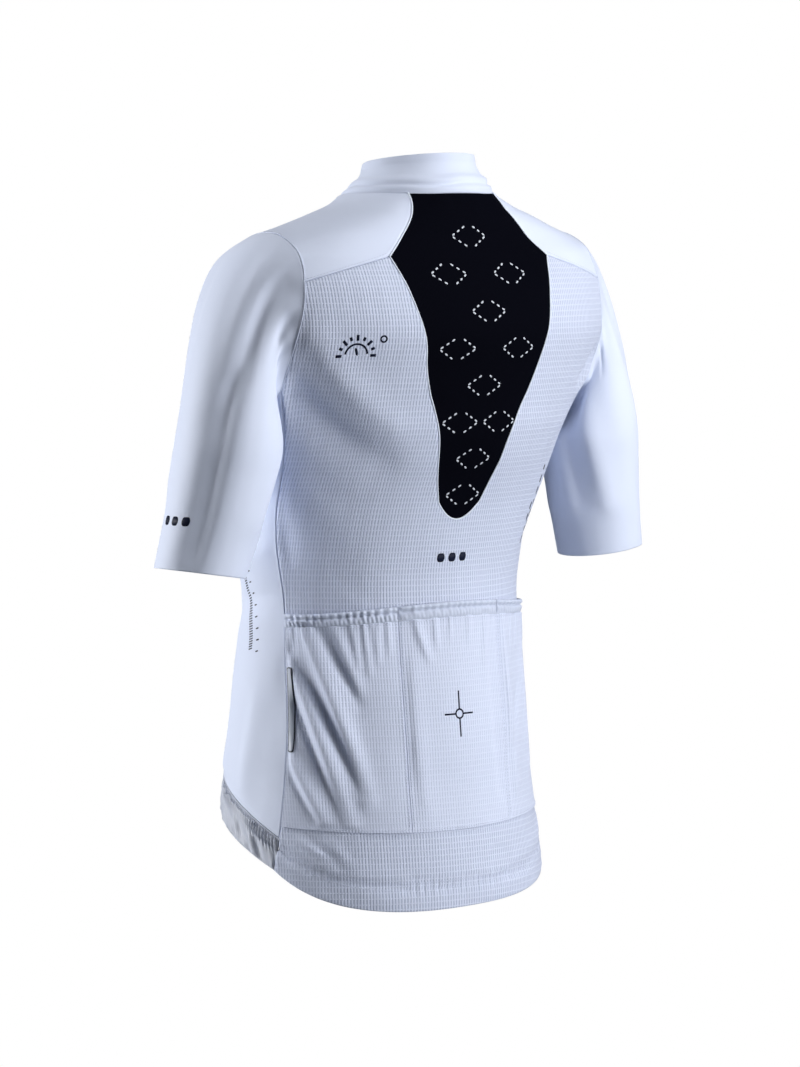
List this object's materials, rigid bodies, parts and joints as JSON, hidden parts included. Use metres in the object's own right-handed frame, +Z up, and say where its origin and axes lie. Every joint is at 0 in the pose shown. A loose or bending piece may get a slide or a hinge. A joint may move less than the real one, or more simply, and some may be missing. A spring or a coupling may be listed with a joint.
{
  "type": "cycling jersey",
  "caption": "Short-sleeved cycling jersey in worn shape, hollow, with stand collar, front zip, dark tapered back insert, rear pockets and dropped back hem",
  "frame": {"origin": "middle of the neck opening at the height of the collar seam, where the wearer's shoulders carry it", "axes": "+Z up, the front faces -Y, the wearer's left is +X"},
  "size_m": [0.5686, 0.3103, 0.7078],
  "materials": {
    "smooth_white": "smooth matt knit",
    "grid_knit_white": "fine grid knit",
    "insert_black": "smooth matt knit with small eyelets",
    "binding_white": "gathered elastic",
    "tab_grey": "reflective tape with a dark edge",
    "zip_metal": "satin",
    "zip_white": "moulded coil"
  },
  "bodies": {
    "garment": {"front_left": "smooth_white", "front_right": "smooth_white", "yoke_left": "smooth_white", "yoke_right": "smooth_white", "sleeve_left": "smooth_white", "sleeve_right": "smooth_white", "collar": "smooth_white", "hem_band_left": "smooth_white", "hem_band_right": "smooth_white", "back_panel": "grid_knit_white", "pocket_left": "grid_knit_white", "pocket_centre": "grid_knit_white", "pocket_right": "grid_knit_white", "back_insert": "insert_black", "pocket_binding_left": "binding_white", "pocket_binding_centre": "binding_white", "pocket_binding_right": "binding_white", "side_tab": "tab_grey", "zip_slider": "zip_metal", "zip_chain": "zip_white"},
    "pull": {"zip_pull": "zip_metal"}
  },
  "joints": [
    {"name": "pull_hinge", "type": "hinge", "parent": "garment", "child": "pull", "pos_m": [0, -0.05762, 0.00593], "axis": [-1, 0, 0], "range_deg": [0, 150]}
  ]
}
